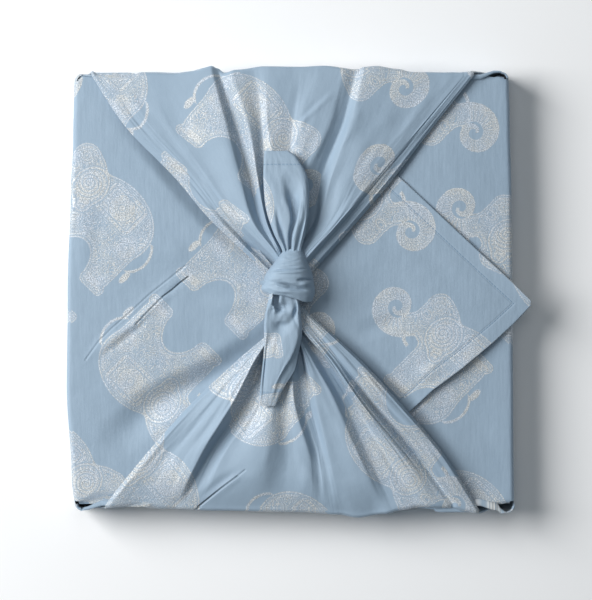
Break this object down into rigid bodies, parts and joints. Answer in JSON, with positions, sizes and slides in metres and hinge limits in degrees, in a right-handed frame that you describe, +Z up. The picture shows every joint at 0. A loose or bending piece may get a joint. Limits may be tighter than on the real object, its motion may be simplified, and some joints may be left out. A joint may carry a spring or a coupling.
{
  "type": "furoshiki wrap",
  "caption": "Square wrapping cloth folded round a flat square parcel, one plain flap over another, with gathered ends tied in a knot on top; hollow inside.",
  "frame": {"origin": "middle of the flat underside, on the surface that the wrap rests on", "axes": "+Z up through the knot; +X towards the hemmed tip of the upper plain flap; +Y towards the gather that the longer, wider free end of the tie lies over"},
  "size_m": [0.3181, 0.3103, 0.0602],
  "materials": {
    "printed_cotton": "smooth satin-faced cotton, powder blue, with a silvery print"
  },
  "bodies": {
    "root": {"furoshiki_cloth": "printed_cotton"}
  },
  "joints": []
}
